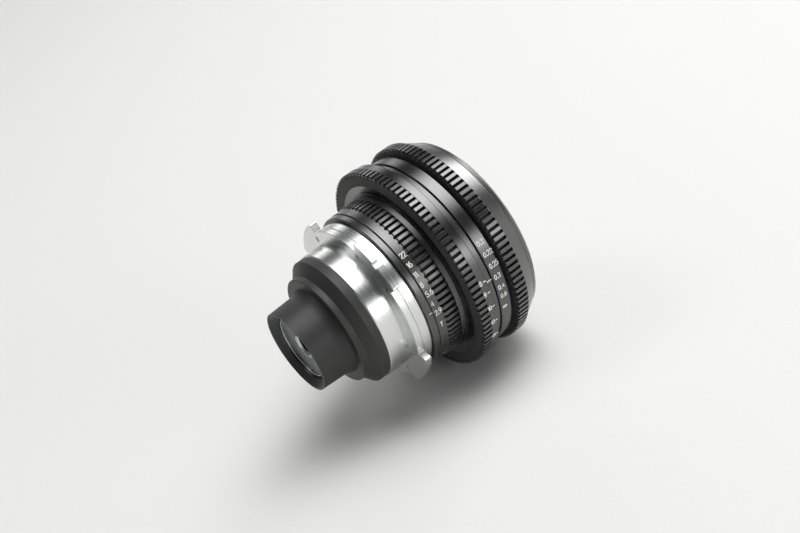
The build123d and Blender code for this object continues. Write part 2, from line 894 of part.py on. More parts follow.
# Threaded ring over the dome's bevel
with BuildPart() as front_retainer:
    revolve(
        turned(
            (dome_front, front_glass_radius - front_glass_bevel / 2),
            (dome_front, rim_bore - seat_gap),
            (retainer_front, rim_bore - seat_gap),
            (retainer_front, front_glass_radius),
        ),
        axis=Axis.Y,
    )
front_retainer.part.label = "front_retainer"
export_step(front_retainer.part, "parts/front_retainer.step")

second_element = glass(
    ledge_rear - second_glass_edge,
    ledge_rear,
    second_glass_radius,
    (second_face_radius, second_glass_bulge),
    (second_hollow_radius, -second_glass_hollow),
)
second_element.label = "second_element"
export_step(second_element, "parts/second_element.step")

# Three rods that keep the sliding groups from turning
with BuildPart() as guide_rods:
    with BuildSketch(Plane.XZ.offset(inner_flange_front - rod_seat + seat_gap)):
        with PolarLocations(rod_circle, rod_count, start_angle=rod_turn):
            Circle(rod_radius)
    extrude(amount=ledge_rear - inner_flange_front + 2 * rod_seat - 2 * seat_gap)
guide_rods.part.label = "guide_rods"
export_step(guide_rods.part, "parts/guide_rods.step")

# Cam sleeve inside the barrel, with three helical slots for each zoom group
cam_sleeve_rear = inner_flange_front + side_gap
cam_sleeve_front = cam_sleeve_rear + cam_sleeve_length
with BuildPart() as cam_sleeve:
    revolve(tube(cam_sleeve_rear, cam_sleeve_front, sleeve_bore, sleeve_radius), axis=Axis.Y)
    for turn in follower_turns:
        add(
            cam_slot(rear_zoom_middle, turn, rear_zoom_rate, zoom_low_turn, zoom_high_turn),
            mode=Mode.SUBTRACT,
        )
        add(
            cam_slot(front_zoom_middle, turn, front_zoom_rate, zoom_low_turn, zoom_high_turn),
            mode=Mode.SUBTRACT,
        )
    with BuildSketch(radial_plane(zoom_key_station, key_turn)):
        Circle(key_radius + seat_gap)
    extrude(amount=journal_radius, mode=Mode.SUBTRACT)
cam_sleeve.part.label = "cam_sleeve"
export_step(cam_sleeve.part, "parts/cam_sleeve.step")

# Focus sleeve in front of the cam sleeve
focus_sleeve_rear = cam_sleeve_front + side_gap
focus_sleeve_front = ledge_rear - side_gap
with BuildPart() as focus_sleeve:
    revolve(tube(focus_sleeve_rear, focus_sleeve_front, sleeve_bore, sleeve_radius), axis=Axis.Y)
    for turn in follower_turns:
        add(
            cam_slot(focus_cell_middle, turn, focus_rate, focus_low_turn, focus_high_turn),
            mode=Mode.SUBTRACT,
        )
    with BuildSketch(radial_plane(focus_key_station, key_turn)):
        Circle(key_radius + seat_gap)
    extrude(amount=journal_radius, mode=Mode.SUBTRACT)
focus_sleeve.part.label = "focus_sleeve"
export_step(focus_sleeve.part, "parts/focus_sleeve.step")

# Keys that pass through the barrel's arc slots
with BuildPart() as zoom_key:
    with BuildSketch(radial_plane(zoom_key_station, key_turn, sleeve_bore + side_gap)):
        Circle(key_radius)
    extrude(amount=journal_radius + key_seat - sleeve_bore - side_gap)
zoom_key.part.label = "zoom_key"
export_step(zoom_key.part, "parts/zoom_key.step")

with BuildPart() as focus_key:
    with BuildSketch(radial_plane(focus_key_station, key_turn, sleeve_bore + side_gap)):
        Circle(key_radius)
    extrude(amount=journal_radius + key_seat - sleeve_bore - side_gap)
focus_key.part.label = "focus_key"
export_step(focus_key.part, "parts/focus_key.step")

# Sliding groups: a carrier, its followers and its glass
rear_zoom_carrier = carrier(rear_zoom_station, zoom_carrier_length, rear_zoom_glass_radius, rear_zoom_middle)
rear_zoom_carrier.label = "rear_zoom_carrier"
export_step(rear_zoom_carrier, "parts/rear_zoom_carrier.step")

rear_zoom_followers = followers(rear_zoom_middle)
rear_zoom_followers.label = "rear_zoom_followers"
export_step(rear_zoom_followers, "parts/rear_zoom_followers.step")

rear_zoom_element = glass(
    rear_zoom_station + glass_inset,
    rear_zoom_station + carrier_web - glass_inset,
    rear_zoom_glass_radius,
    (rear_zoom_glass_radius - glass_ledge, rear_zoom_front_bulge),
    (rear_zoom_glass_radius - glass_ledge, rear_zoom_rear_bulge),
)
rear_zoom_element.label = "rear_zoom_element"
export_step(rear_zoom_element, "parts/rear_zoom_element.step")

front_zoom_carrier = carrier(
    front_zoom_station,
    zoom_carrier_length,
    front_zoom_glass_radius,
    front_zoom_middle,
)
front_zoom_carrier.label = "front_zoom_carrier"
export_step(front_zoom_carrier, "parts/front_zoom_carrier.step")

front_zoom_followers = followers(front_zoom_middle)
front_zoom_followers.label = "front_zoom_followers"
export_step(front_zoom_followers, "parts/front_zoom_followers.step")

front_zoom_element = glass(
    front_zoom_station + glass_inset,
    front_zoom_station + carrier_web - glass_inset,
    front_zoom_glass_radius,
    (front_zoom_glass_radius - glass_ledge, front_zoom_front_bulge),
    (front_zoom_glass_radius - glass_ledge, front_zoom_rear_bulge),
)
front_zoom_element.label = "front_zoom_element"
export_step(front_zoom_element, "parts/front_zoom_element.step")

focus_cell = carrier(focus_cell_station, focus_cell_length, focus_glass_radius, focus_cell_middle)
focus_cell.label = "focus_cell"
export_step(focus_cell, "parts/focus_cell.step")

focus_followers = followers(focus_cell_middle)
focus_followers.label = "focus_followers"
export_step(focus_followers, "parts/focus_followers.step")

focus_element = glass(
    focus_cell_station + glass_inset,
    focus_cell_station + carrier_web - glass_inset,
    focus_glass_radius,
    (focus_glass_radius - glass_ledge, focus_front_bulge),
    (focus_glass_radius - glass_ledge, focus_rear_bulge),
)
focus_element.label = "focus_element"
export_step(focus_element, "parts/focus_element.step")

# Iris housing: a cup whose floor carries the blade pivots
with BuildPart() as iris_housing:
    revolve(
        turned(
            (housing_rear, housing_outer),
            (housing_front, housing_outer),
            (housing_front, housing_aperture),
            (housing_front - housing_floor, housing_aperture),
            (housing_front - housing_floor, housing_bore),
            (housing_rear, housing_bore),
        ),
        axis=Axis.Y,
    )
    with BuildSketch(Plane.XZ.offset(housing_front - housing_floor - overrun)):
        with PolarLocations(pivot_radius, blade_count):
            Circle(blade_pin_radius + pin_gap)
    extrude(amount=housing_floor + 2 * overrun, mode=Mode.SUBTRACT)
    add(
        arc_slot(
            drive_pin_station,
            drive_slot_width,
            housing_bore - overrun,
            housing_outer + overrun,
            key_turn + iris_open_turn - slot_end_turn,
            key_turn + iris_shut_turn + slot_end_turn,
        ),
        mode=Mode.SUBTRACT,
    )
iris_housing.part.label = "iris_housing"
export_step(iris_housing.part, "parts/iris_housing.step")

# Ring that closes the iris housing
with BuildPart() as iris_retainer:
    revolve(
        tube(
            actuator_rear - side_gap - iris_retainer_length,
            actuator_rear - side_gap,
            housing_bore - iris_retainer_wall,
            housing_bore - seat_gap,
        ),
        axis=Axis.Y,
    )
iris_retainer.part.label = "iris_retainer"
export_step(iris_retainer.part, "parts/iris_retainer.step")

# Cam plate that turns with the iris ring
with BuildPart() as iris_actuator:
    revolve(
        tube(actuator_rear, actuator_front, housing_aperture, housing_bore - running_gap),
        axis=Axis.Y,
    )
    with BuildSketch(Plane.XZ.offset(actuator_rear - overrun)):
        for index in range(blade_count):
            with BuildLine() as cam_path:
                Spline(*cam_points(blade_step * index))
            trace(cam_path.line, line_width=2 * (blade_pin_radius + cam_gap))
            with Locations(cam_path.line @ 0, cam_path.line @ 1):
                Circle(blade_pin_radius + cam_gap)
    extrude(amount=actuator_length + 2 * overrun, mode=Mode.SUBTRACT)
    with BuildSketch(radial_plane(drive_pin_station, key_turn, housing_bore - drive_pin_depth)):
        Circle(drive_pin_radius + seat_gap)
    extrude(amount=drive_pin_depth + overrun, mode=Mode.SUBTRACT)
iris_actuator.part.label = "iris_actuator"
export_step(iris_actuator.part, "parts/iris_actuator.step")

# Pin from the iris ring to the cam plate
drive_pin_inner = housing_bore - drive_pin_depth + seat_gap
with BuildPart() as iris_drive_pin:
    with BuildSketch(radial_plane(drive_pin_station, key_turn, drive_pin_inner)):
        Circle(drive_pin_radius)
    extrude(amount=iris_journal_radius + drive_pin_seat - drive_pin_inner)
iris_drive_pin.part.label = "iris_drive_pin"
export_step(iris_drive_pin.part, "parts/iris_drive_pin.step")

# Iris blades, each on its own level between the floor and the cam plate
for index in range(blade_count):
    turn = blade_step * index
    blade_front = blade_stack_front - blade_pitch * index
    with BuildPart() as blade:
        with BuildSketch(Plane.XZ.offset(blade_front - blade_thickness)):
            with BuildLine() as strip:
                CenterArc((0, 0), strip_radius, turn + blade_tail_turn, blade_span_turn)
            trace(strip.line, line_width=blade_width)
            with Locations(strip.line @ 0, strip.line @ 1):
                Circle(blade_width / 2)
            with BuildLine() as lug:
                CenterArc((0, 0), lug_radius, turn - lug_margin_turn, follower_pin_turn + 2 * lug_margin_turn)
            trace(lug.line, line_width=lug_width)
        extrude(amount=blade_thickness)
        with BuildSketch(Plane.XZ.offset(blade_front)):
            with PolarLocations(pivot_radius, 1, start_angle=turn):
                Circle(blade_pin_radius)
        extrude(amount=housing_front - blade_front - side_gap)
        with BuildSketch(Plane.XZ.offset(actuator_rear + side_gap)):
            with PolarLocations(pivot_radius, 1, start_angle=turn + follower_pin_turn):
                Circle(blade_pin_radius)
        extrude(amount=blade_front - blade_thickness - actuator_rear - side_gap)
    name = f"iris_blade_{index + 1}"
    blade.part.label = name
    export_step(blade.part, f"parts/{name}.step")
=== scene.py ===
"""Dresses the cine fisheye zoom lens: finishes of every piece, engraved scales, light, floor and camera.

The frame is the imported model's: metres, with the optical axis on Y and the camera side of the lens toward +Y.
A station is a distance in front of the mount's seat, so a station s lies at y = -s. A turn is an angle about
the axis in degrees, from +X toward +Z. All sizes are in millimetres, unless a comment says metres.
"""

import bmesh
import bpy
import json
import math
from mathutils import Matrix, Vector


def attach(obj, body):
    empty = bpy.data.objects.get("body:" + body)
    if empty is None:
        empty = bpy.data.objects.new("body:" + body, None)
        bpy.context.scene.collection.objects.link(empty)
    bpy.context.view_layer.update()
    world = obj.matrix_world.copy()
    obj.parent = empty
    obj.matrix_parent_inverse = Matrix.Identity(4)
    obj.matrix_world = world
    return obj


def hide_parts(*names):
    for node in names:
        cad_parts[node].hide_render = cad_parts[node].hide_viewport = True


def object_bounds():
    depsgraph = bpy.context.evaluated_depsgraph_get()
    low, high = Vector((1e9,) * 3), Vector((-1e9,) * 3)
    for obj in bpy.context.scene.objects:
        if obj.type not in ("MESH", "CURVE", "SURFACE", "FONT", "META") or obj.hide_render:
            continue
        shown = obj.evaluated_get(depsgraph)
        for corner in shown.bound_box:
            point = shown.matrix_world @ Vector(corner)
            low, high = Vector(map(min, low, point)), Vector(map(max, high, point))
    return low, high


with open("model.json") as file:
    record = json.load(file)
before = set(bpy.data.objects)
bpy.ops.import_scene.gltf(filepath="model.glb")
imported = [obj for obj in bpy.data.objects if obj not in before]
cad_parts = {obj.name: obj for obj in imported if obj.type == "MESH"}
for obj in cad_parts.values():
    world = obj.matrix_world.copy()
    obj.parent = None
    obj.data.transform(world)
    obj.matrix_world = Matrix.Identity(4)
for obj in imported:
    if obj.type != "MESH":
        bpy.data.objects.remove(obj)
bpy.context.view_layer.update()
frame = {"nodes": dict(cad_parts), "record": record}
nodes = frame["nodes"]

MM = 0.001

# Where the photograph was taken from, in millimetres, degrees and its own pixels
photo_width, photo_height = 800, 533
sensor_width = 36.0
focal_length = 58.0
camera_yaw = 20.70
camera_roll = 35.98
camera_distance = 484.25
aim_station = 7.0
aim_pixel = (377.22, 292.79)
up_turn = 31.0

# Engraved lines
stroke_width = 0.36
tick_width = 0.3
index_width = 0.58
stroke_lift = 0.03
stroke_depth = 0.06

# Lines and grains of the finishes. Real lathe lines lie about 0.05 mm apart, and blasting, lacquer, enamel
# and paper have grains of 0.02 to 0.1 mm: too fine to show, so they are drawn as coarse as they need to be
turned_line_pitch = 0.35
shoulder_line_pitch = 0.4
inner_line_pitch = 0.3
small_line_pitch = 0.2
line_breakup = 0.03
blasted_grain = 0.12
lacquer_grain = 0.22
enamel_grain = 0.18
paper_grain = 1.2

# Broad unevenness at its real size: patches of more or less gloss in the lacquer, and finger smears on glass
lacquer_patch = 6.0
finger_smear = 9.0

# How far the corners are broken, how wide the painted highlight along them reaches (which also stands for
# handling wear), and the colours painted there
ring_edge, ring_lit_edge_width = 0.12, 0.16
casting_edge, casting_lit_edge_width = 0.2, 0.25
steel_edge = 0.35
bevel_samples = 6
lit_worn_aluminium, lit_worn_casting = "#6f7171", "#7c7e7d"

# The gears' gaps, painted dark as shade and left dull: how deep under the land the painted shade begins, and
# its colour and roughness there
gap_fade = 0.3
gap_shade_black, gap_shade_roughness = "#050505", 0.75


def linear(colour):
    """An sRGB hex colour as linear red, green, blue and alpha."""
    parts = [int(colour[place : place + 2], 16) / 255 for place in (1, 3, 5)]
    return [part / 12.92 if part <= 0.04045 else ((part + 0.055) / 1.055) ** 2.4 for part in parts] + [1.0]


def add(tree, kind, settings=None, out=None, **links):
    """One node with its settings and links, and the output socket that is asked for, or else the node.

    A setting is an attribute or an input. Sockets go by identifier, and a link's name has _ for a space.
    """
    node = tree.nodes.new(kind)
    inputs = {socket.identifier: socket for socket in node.inputs}
    outputs = {socket.identifier: socket for socket in node.outputs}
    for name, value in (settings or {}).items():
        if name in inputs:
            inputs[name].default_value = value
        else:
            setattr(node, name, value)
    for name, source in links.items():
        tree.links.new(source, inputs[name if name in inputs else name.replace("_", " ")])
    return outputs[out] if out else node


def new_material(name):
    """A material with an empty node tree."""
    material = bpy.data.materials.new(name)
    material.use_nodes = True
    material.node_tree.nodes.clear()
    return material, material.node_tree


def place_about_axis(tree):
    """A point's offset from the optical axis, its radius, and its place along the axis."""
    split = add(tree, "ShaderNodeSeparateXYZ", Vector=add(tree, "ShaderNodeTexCoord", out="Object"))
    offset = add(tree, "ShaderNodeCombineXYZ", None, "Vector", X=split.outputs["X"], Z=split.outputs["Z"])
    radius = add(tree, "ShaderNodeVectorMath", {"operation": "LENGTH"}, "Value", Vector=offset)
    return offset, radius, split.outputs["Y"]


def turned_lines(tree, pitch, spread):
    """Fine lathe lines round the axis that break up a little, from 0 to 1, softened by spread."""
    offset, radius, along = place_about_axis(tree)
    trace = {"operation": "SCALE", "Scale": line_breakup}
    broken = add(tree, "ShaderNodeVectorMath", trace, "Vector", Vector=offset)
    ring = add(tree, "ShaderNodeCombineXYZ", None, "Vector", X=radius, Y=along)
    place = add(tree, "ShaderNodeVectorMath", {"operation": "ADD"}, "Vector", Vector=ring, Vector_001=broken)
    fineness = {"Scale": 1 / (pitch * MM), "Detail": 2.0, "Roughness": 0.5}
    noise = add(tree, "ShaderNodeTexNoise", fineness, "Fac", Vector=place)
    limits = {"From Min": 0.5 - spread, "From Max": 0.5 + spread}
    return add(tree, "ShaderNodeMapRange", limits, "Result", Value=noise)


def grain(tree, size, detail=3.0):
    """Even noise whose grains have a size, from 0 to 1."""
    place = add(tree, "ShaderNodeTexCoord", out="Object")
    return add(tree, "ShaderNodeTexNoise", {"Scale": 1 / (size * MM), "Detail": detail}, "Fac", Vector=place)


def lit_and_worn_edges(tree, radius, most):
    """A value along sharp edges, hollow ones too, where a painted highlight lightens the colour, partly also
    standing for handling wear; it fades to 0 on the faces beside them.
    """
    rounded = add(tree, "ShaderNodeBevel", {"samples": bevel_samples, "Radius": radius * MM}, "Normal")
    face = add(tree, "ShaderNodeNewGeometry", out="Normal")
    product = {"operation": "DOT_PRODUCT"}
    turn = add(tree, "ShaderNodeVectorMath", product, "Value", Vector=rounded, Vector_001=face)
    fade = {"From Min": 0.99, "From Max": 0.86, "To Min": 0.0, "To Max": most}
    return add(tree, "ShaderNodeMapRange", fade, "Result", Value=turn)


def deburred_relief(tree, height, strength, depth, edge):
    """Normal of a surface with a fine relief, whose corners are broken by edge and catch a thin light."""
    rounded = add(tree, "ShaderNodeBevel", {"samples": bevel_samples, "Radius": edge * MM}, "Normal")
    relief = {"Strength": strength, "Distance": depth * MM}
    return add(tree, "ShaderNodeBump", relief, "Normal", Height=height, Normal=rounded)


def shaded_gaps(tree, land_radius, rear, front):
    """Painted shade: 1 in the gear gaps, which lie inside a radius and between two stations, and 0 on the
    turned faces.
    """
    _, radius, along = place_about_axis(tree)
    dull_radius = (land_radius - gap_fade) * MM
    fade = {"From Min": dull_radius, "From Max": land_radius * MM, "To Min": 1.0, "To Max": 0.0}
    depth = add(tree, "ShaderNodeMapRange", fade, "Result", Value=radius)
    middle, reach = -(rear + front) / 2 * MM, (front - rear) / 2 * MM
    band = {"operation": "COMPARE", "Value_001": middle, "Value_002": reach}
    toothed = add(tree, "ShaderNodeMath", band, "Value", Value=along)
    return add(tree, "ShaderNodeMath", {"operation": "MULTIPLY"}, "Value", Value=depth, Value_001=toothed)


def anodised_aluminium(name, dark, light, roughness, gaps=None):
    """Black anodised aluminium, turned and then bead blasted: a soft broad sheen with faint lathe lines.

    A gear ring's gaps, given as their land's radius and two stations, are dull and painted near black as shade.
    """
    material, tree = new_material(name)
    lines = turned_lines(tree, turned_line_pitch, 0.22)
    speckle = {"data_type": "RGBA", "A_Color": linear(dark), "B_Color": linear(light)}
    black = add(tree, "ShaderNodeMix", speckle, "Result_Color", Factor_Float=grain(tree, blasted_grain))
    # Edges painted lighter: a painted highlight, which also stands for handling wear
    lit_worn_tint = {"data_type": "RGBA", "B_Color": linear(lit_worn_aluminium)}
    edges = lit_and_worn_edges(tree, ring_lit_edge_width, 0.55)
    colour = add(tree, "ShaderNodeMix", lit_worn_tint, "Result_Color", Factor_Float=edges, A_Color=black)
    polish = {"To Min": roughness - 0.03, "To Max": roughness + 0.04}
    sheen = add(tree, "ShaderNodeMapRange", polish, "Result", Value=lines)
    if gaps:
        # Painted shade: the gaps turn near black and dull
        gap_shade = shaded_gaps(tree, *gaps)
        gap_shade_mix = {"data_type": "RGBA", "B_Color": linear(gap_shade_black)}
        colour = add(tree, "ShaderNodeMix", gap_shade_mix, "Result_Color", Factor_Float=gap_shade, A_Color=colour)
        rough = {"To Max": gap_shade_roughness}
        sheen = add(tree, "ShaderNodeMapRange", rough, "Result", Value=gap_shade, To_Min=sheen)
    shader = add(
        tree,
        "ShaderNodeBsdfPrincipled",
        {"Metallic": 0.0, "IOR": 1.77, "Specular IOR Level": 0.7},
        "BSDF",
        Base_Color=colour,
        Roughness=sheen,
        Normal=deburred_relief(tree, lines, 0.12, 0.01, ring_edge),
    )
    add(tree, "ShaderNodeOutputMaterial", Surface=shader)
    return material


def blasted_lacquer(name, dark, light, roughness):
    """Matte black lacquer over a blasted casting: dark grey in light, with a fine dry grain."""
    material, tree = new_material(name)
    fine = grain(tree, lacquer_grain, 4.0)
    speckle = {"data_type": "RGBA", "A_Color": linear(dark), "B_Color": linear(light)}
    coat = add(tree, "ShaderNodeMix", speckle, "Result_Color", Factor_Float=fine)
    # Edges painted lighter: a painted highlight, which also stands for handling wear
    lit_worn_tint = {"data_type": "RGBA", "B_Color": linear(lit_worn_casting)}
    edges = lit_and_worn_edges(tree, casting_lit_edge_width, 0.45)
    patches = {"To Min": roughness - 0.05, "To Max": roughness + 0.05}
    shader = add(
        tree,
        "ShaderNodeBsdfPrincipled",
        {"Metallic": 0.0, "IOR": 1.45},
        "BSDF",
        Base_Color=add(tree, "ShaderNodeMix", lit_worn_tint, "Result_Color", Factor_Float=edges, A_Color=coat),
        Roughness=add(tree, "ShaderNodeMapRange", patches, "Result", Value=grain(tree, lacquer_patch)),
        Normal=deburred_relief(tree, fine, 0.18, 0.02, casting_edge),
    )
    add(tree, "ShaderNodeOutputMaterial", Surface=shader)
    return material


def turned_metal(name, dark, light, roughness, pitch):
    """Bare turned metal: fine rings that stretch each highlight along the axis."""
    material, tree = new_material(name)
    lines = turned_lines(tree, pitch, 0.25)
    bands = {"data_type": "RGBA", "A_Color": linear(dark), "B_Color": linear(light)}
    polish = {"To Min": roughness - 0.02, "To Max": roughness + 0.03}
    shader = add(
        tree,
        "ShaderNodeBsdfPrincipled",
        {"Metallic": 1.0},
        "BSDF",
        Base_Color=add(tree, "ShaderNodeMix", bands, "Result_Color", Factor_Float=lines),
        Roughness=add(tree, "ShaderNodeMapRange", polish, "Result", Value=lines),
        Normal=deburred_relief(tree, lines, 0.035, 0.004, steel_edge),
    )
    add(tree, "ShaderNodeOutputMaterial", Surface=shader)
    return material


def coated_glass(name, tint, sheen, reflection=0.3):
    """Polished optical glass with an anti-reflection coat: weak reflections in the coat's own colour."""
    material, tree = new_material(name)
    smears = {"To Min": 0.0, "To Max": 0.03}
    shader = add(
        tree,
        "ShaderNodeBsdfPrincipled",
        {
            "Base Color": linear(tint),
            "Transmission Weight": 1.0,
            "IOR": 1.6,
            "Specular IOR Level": reflection,
            "Specular Tint": linear(sheen),
        },
        "BSDF",
        Roughness=add(tree, "ShaderNodeMapRange", smears, "Result", Value=grain(tree, finger_smear)),
    )
    add(tree, "ShaderNodeOutputMaterial", Surface=shader)
    return material


def engraved_enamel(name, colour, shade):
    """White enamel wiped into engraved lines: slightly chalky and uneven."""
    material, tree = new_material(name)
    fine = grain(tree, enamel_grain)
    chalk = {"data_type": "RGBA", "A_Color": linear(shade), "B_Color": linear(colour)}
    relief = {"Strength": 0.2, "Distance": 0.01 * MM}
    shader = add(
        tree,
        "ShaderNodeBsdfPrincipled",
        {"Metallic": 0.0, "IOR": 1.5, "Roughness": 0.55},
        "BSDF",
        Base_Color=add(tree, "ShaderNodeMix", chalk, "Result_Color", Factor_Float=fine),
        Normal=add(tree, "ShaderNodeBump", relief, "Normal", Height=fine),
    )
    add(tree, "ShaderNodeOutputMaterial", Surface=shader)
    return material


finishes = {
    # Black that turns to a soft grey sheen where light runs along it, on fixed barrel and moving rings alike
    "barrel_black": anodised_aluminium("barrel anodising", "#0e0e0f", "#141415", 0.27),
    "ring_black": anodised_aluminium("ring anodising", "#0b0b0c", "#111112", 0.24),
    # Dry charcoal of the rear block, clearly greyer and flatter than the rings
    "rear_black": blasted_lacquer("matte rear lacquer", "#292a29", "#333432", 0.48),
    # The one bright part: cool, with wide soft highlights. The screws in it are a shade darker
    "mount_silver": turned_metal("turned stainless steel", "#cfd0cf", "#e2e3e2", 0.25, shoulder_line_pitch),
    "screw_steel": turned_metal("bright screw steel", "#a9a9a8", "#c9c9c7", 0.22, small_line_pitch),
    # Glass that shows a green sheen in front, a violet one inside, and at the rear a cold blue sheen over a
    # dark tint: painted shade that darkens what shows through it
    "front_glass": coated_glass("coated front glass", "#e3ecec", "#9ed0b4"),
    "rear_glass": coated_glass("coated rear glass", "#23272a", "#b9c8e2", 0.12),
    "inner_glass": coated_glass("coated inner glass", "#e8f0f0", "#c9b0dc"),
    # Flat black that hides what is inside, and dark nickel that lets the funnel round the rear eye show
    "inner_black": blasted_lacquer("flat inner black", "#0e0e0e", "#151515", 0.7),
    "sleeve_metal": turned_metal("darkened nickel", "#54585a", "#676b6d", 0.3, inner_line_pitch),
    # Warm yellow metal of the keys and followers, and the iris blades' thin dull black
    "key_brass": turned_metal("turned brass", "#9c7a3c", "#c9a55e", 0.28, small_line_pitch),
    "blade_black": blasted_lacquer("blade black", "#0d0d0e", "#141415", 0.45),
}
# Clear near-white lines on the black rings
enamel = engraved_enamel("white enamel", "#f7f7f2", "#e6e6e0")

# Finishes of single pieces: a bezel that gleams darkly round the rear glass, and geared rings whose lands
# catch light while their gaps stay dull, with painted shade in them. Gaps are given as the radius they lie
# under and their two stations
iris_gaps, zoom_gaps, focus_gaps = (33.15, 9.8, 22.0), (42.7, 21.9, 27.0), (42.7, 39.1, 44.45)
own_finishes = {
    "rear_bezel": turned_metal("blackened bezel", "#3a3d3f", "#484b4d", 0.34, inner_line_pitch),
    "iris_ring": anodised_aluminium("iris ring anodising", "#0e0e0f", "#161617", 0.28, iris_gaps),
    "zoom_ring": anodised_aluminium("zoom ring anodising", "#0b0b0c", "#111112", 0.22, zoom_gaps),
    "focus_ring": anodised_aluminium("focus ring anodising", "#0b0b0c", "#111112", 0.22, focus_gaps),
}

for entry in frame["record"]["subparts"]:
    node = nodes[entry["node"]]
    node.data.materials.clear()
    node.data.materials.append(own_finishes.get(entry["node"], finishes[entry["material_slot"]]))


def finished(name, mesh, material, body):
    """A piece from finished mesh work: smooth, with its real corners kept sharp."""
    bmesh.ops.recalc_face_normals(mesh, faces=mesh.faces)
    data = bpy.data.meshes.new(name)
    mesh.to_mesh(data)
    mesh.free()
    data.polygons.foreach_set("use_smooth", [True] * len(data.polygons))
    data.set_sharp_from_angle(angle=math.radians(30))
    data.materials.append(material)
    piece = bpy.data.objects.new(name, data)
    bpy.context.scene.collection.objects.link(piece)
    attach(piece, body)
    return piece


def lathed(name, body, material, outline, segments=144):
    """A turned ring from a closed outline of stations and radii."""
    mesh = bmesh.new()
    rings = []
    for segment in range(segments):
        angle = 2 * math.pi * segment / segments
        across, rise = math.cos(angle) * MM, math.sin(angle) * MM
        points = [(radius * across, -station * MM, radius * rise) for station, radius in outline]
        rings.append([mesh.verts.new(point) for point in points])
    for segment in range(segments):
        ring, after = rings[segment], rings[(segment + 1) % segments]
        for place in range(len(outline)):
            follows = (place + 1) % len(outline)
            if outline[place][1] or outline[follows][1]:
                mesh.faces.new((ring[place], ring[follows], after[follows], after[place]))
    # Points on the axis, which every segment has, become one
    bmesh.ops.remove_doubles(mesh, verts=mesh.verts, dist=MM / 1000)
    return finished(name, mesh, material, body)


def arc(middle, radii, first, last, steps=14):
    """Points of an elliptical arc between two angles in degrees."""
    points = []
    for step in range(steps + 1):
        angle = math.radians(first + (last - first) * step / steps)
        points.append((middle[0] + radii[0] * math.cos(angle), middle[1] + radii[1] * math.sin(angle)))
    return points


# The strokes of an engraver's single-line characters, each in shares of its height
endless = "\u221e"
characters = {
    "0": [arc((0.3, 0.5), (0.27, 0.5), 90, 450, 24)],
    "1": [[(0.06, 0.8), (0.26, 1.0), (0.26, 0.0)]],
    "2": [arc((0.3, 0.72), (0.27, 0.28), 165, -38) + [(0.02, 0.0), (0.58, 0.0)]],
    "3": [arc((0.28, 0.75), (0.25, 0.25), 150, -90) + arc((0.28, 0.25), (0.28, 0.25), 90, -150)],
    "4": [[(0.44, 0.0), (0.44, 1.0), (0.02, 0.3), (0.6, 0.3)]],
    "5": [[(0.54, 1.0), (0.1, 1.0), (0.06, 0.54)] + arc((0.28, 0.32), (0.29, 0.32), 125, -145)],
    "6": [arc((0.6, 0.34), (0.57, 0.66), 105, 180, 8) + arc((0.3, 0.3), (0.27, 0.3), 180, 540, 22)],
    "8": [arc((0.3, 0.76), (0.23, 0.24), 90, 450, 20), arc((0.3, 0.26), (0.28, 0.26), 90, 450, 20)],
    "9": [arc((0.3, 0.7), (0.27, 0.3), 0, 360, 22) + arc((0.0, 0.66), (0.57, 0.66), 0, -75, 8)],
    "T": [[(0.0, 1.0), (0.6, 1.0)], [(0.3, 1.0), (0.3, 0.0)]],
    ".": [[(0.08, 0.02), (0.08, 0.1)]],
    endless: [arc((0.28, 0.4), (0.26, 0.24), 0, 360, 20), arc((0.84, 0.4), (0.26, 0.24), 0, 360, 20)],
}

# The shares of the height that characters take, the space after each and how far all are narrowed
character_widths = {"1": 0.3, ".": 0.16, endless: 1.12}
digit_width = 0.6
letter_space = 0.15
narrowing = 0.88


def ribbon(mesh, points, width):
    """A flat stroke of a width along points, with round ends, in the plane of the sheet."""
    half = width / 2
    sides = []
    for place, point in enumerate(points):
        before = points[max(place - 1, 0)]
        after = points[min(place + 1, len(points) - 1)]
        along = Vector((after[0] - before[0], after[1] - before[1])).normalized()
        across = Vector((-along.y, along.x)) * half
        first = mesh.verts.new((point[0] + across.x, point[1] + across.y, 0))
        second = mesh.verts.new((point[0] - across.x, point[1] - across.y, 0))
        sides.append((first, second))
    for (first, second), (third, fourth) in zip(sides, sides[1:]):
        mesh.faces.new((first, second, fourth, third))
    for point, edge, way in ((points[0], sides[0], 1), (points[-1], sides[-1], -1)):
        start = math.atan2(edge[0].co.y - point[1], edge[0].co.x - point[0])
        angles = [start + way * math.pi * step / 5 for step in range(1, 5)]
        end = [(point[0] + half * math.cos(angle), point[1] + half * math.sin(angle), 0) for angle in angles]
        rim = [edge[0], *(mesh.verts.new(place) for place in end), edge[1]]
        mesh.faces.new(rim if way < 0 else rim[::-1])


def label_strokes(text, height):
    """Strokes of a text of a height, from the foot of its first character."""
    strokes, reach = [], 0.0
    for character in text:
        for stroke in characters[character]:
            strokes.append([((reach + x) * narrowing * height, y * height) for x, y in stroke])
        reach += character_widths.get(character, digit_width) + letter_space
    return strokes


def engrave(name, body, radius, strokes, station, turn, width):
    """Enamel strokes wrapped on a cylinder: along the axis to the front, with up toward smaller turns."""
    mesh = bmesh.new()
    for stroke in strokes:
        ribbon(mesh, stroke, width)
    top, rim = list(mesh.faces), [edge for edge in mesh.edges if edge.is_boundary]
    floor = {vertex: mesh.verts.new((*vertex.co.xy, -stroke_depth)) for vertex in list(mesh.verts)}
    for face in top:
        mesh.faces.new([floor[vertex] for vertex in reversed(face.verts)])
    for first, second in [edge.verts for edge in rim]:
        mesh.faces.new((first, second, floor[second], floor[first]))
    for vertex in mesh.verts:
        reach = (radius + stroke_lift + vertex.co.z) * MM
        angle = math.radians(turn) - vertex.co.y / radius
        place = station + vertex.co.x
        vertex.co = (reach * math.cos(angle), -place * MM, reach * math.sin(angle))
    return finished(name, mesh, enamel, body)


